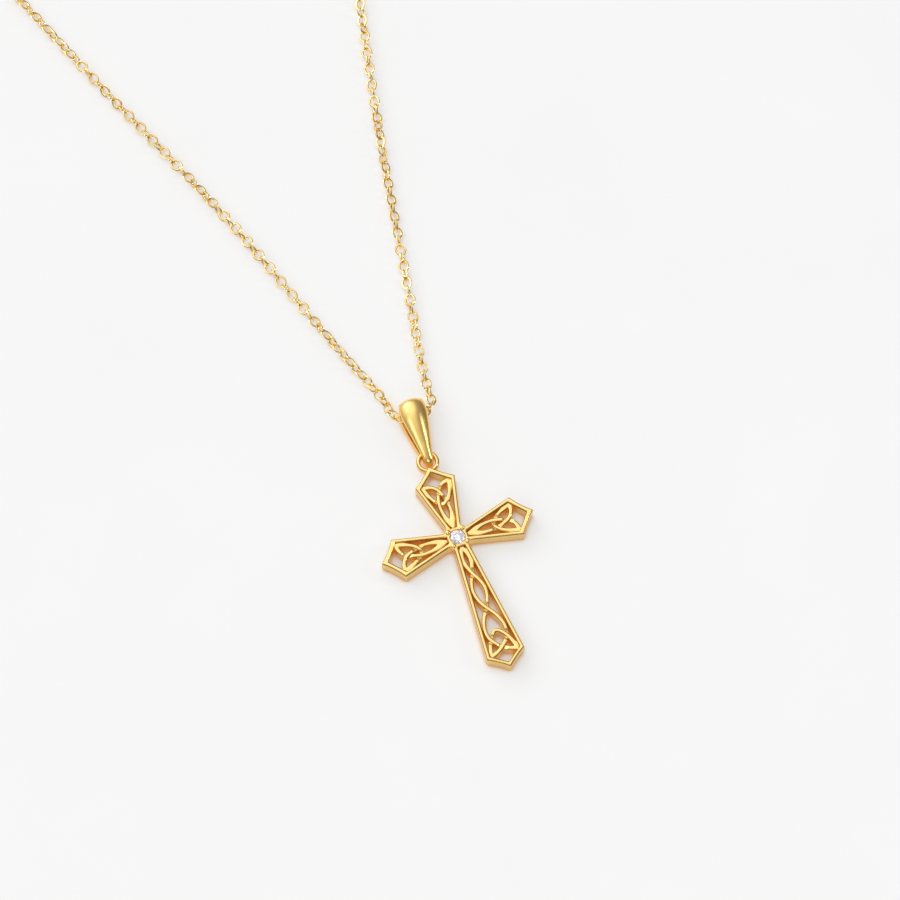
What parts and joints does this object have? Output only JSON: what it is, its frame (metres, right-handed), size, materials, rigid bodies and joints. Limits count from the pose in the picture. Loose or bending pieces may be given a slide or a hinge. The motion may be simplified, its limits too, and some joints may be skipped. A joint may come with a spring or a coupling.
{
  "type": "celtic cross pendant on its chain",
  "caption": "Gold cross pendant with pierced knotwork arms, a small brilliant in its hub, a tapered hollow bail and a fine cable chain with a ring clasp, lying flat as a loop.",
  "frame": {"origin": "on the surface that it lies on, at the middle of the cross's back, below the centre of the stone", "axes": "+Z out of the cross's face, +Y along its long axis from the foot to the bail and the chain, +X to the right seen from the face"},
  "size_m": [0.0723, 0.2368, 0.0032],
  "materials": {
    "cast_gold": "polished yellow gold, deeper orange in the recesses",
    "bail_gold": "fine satin yellow gold",
    "chain_gold": "bright polished yellow gold with flat-cut links",
    "clear_stone": "clear faceted brilliant"
  },
  "bodies": {
    "root": {"cross": "cast_gold", "stone": "clear_stone", "bail": "bail_gold", "chain": "chain_gold", "clasp": "chain_gold"}
  },
  "joints": []
}
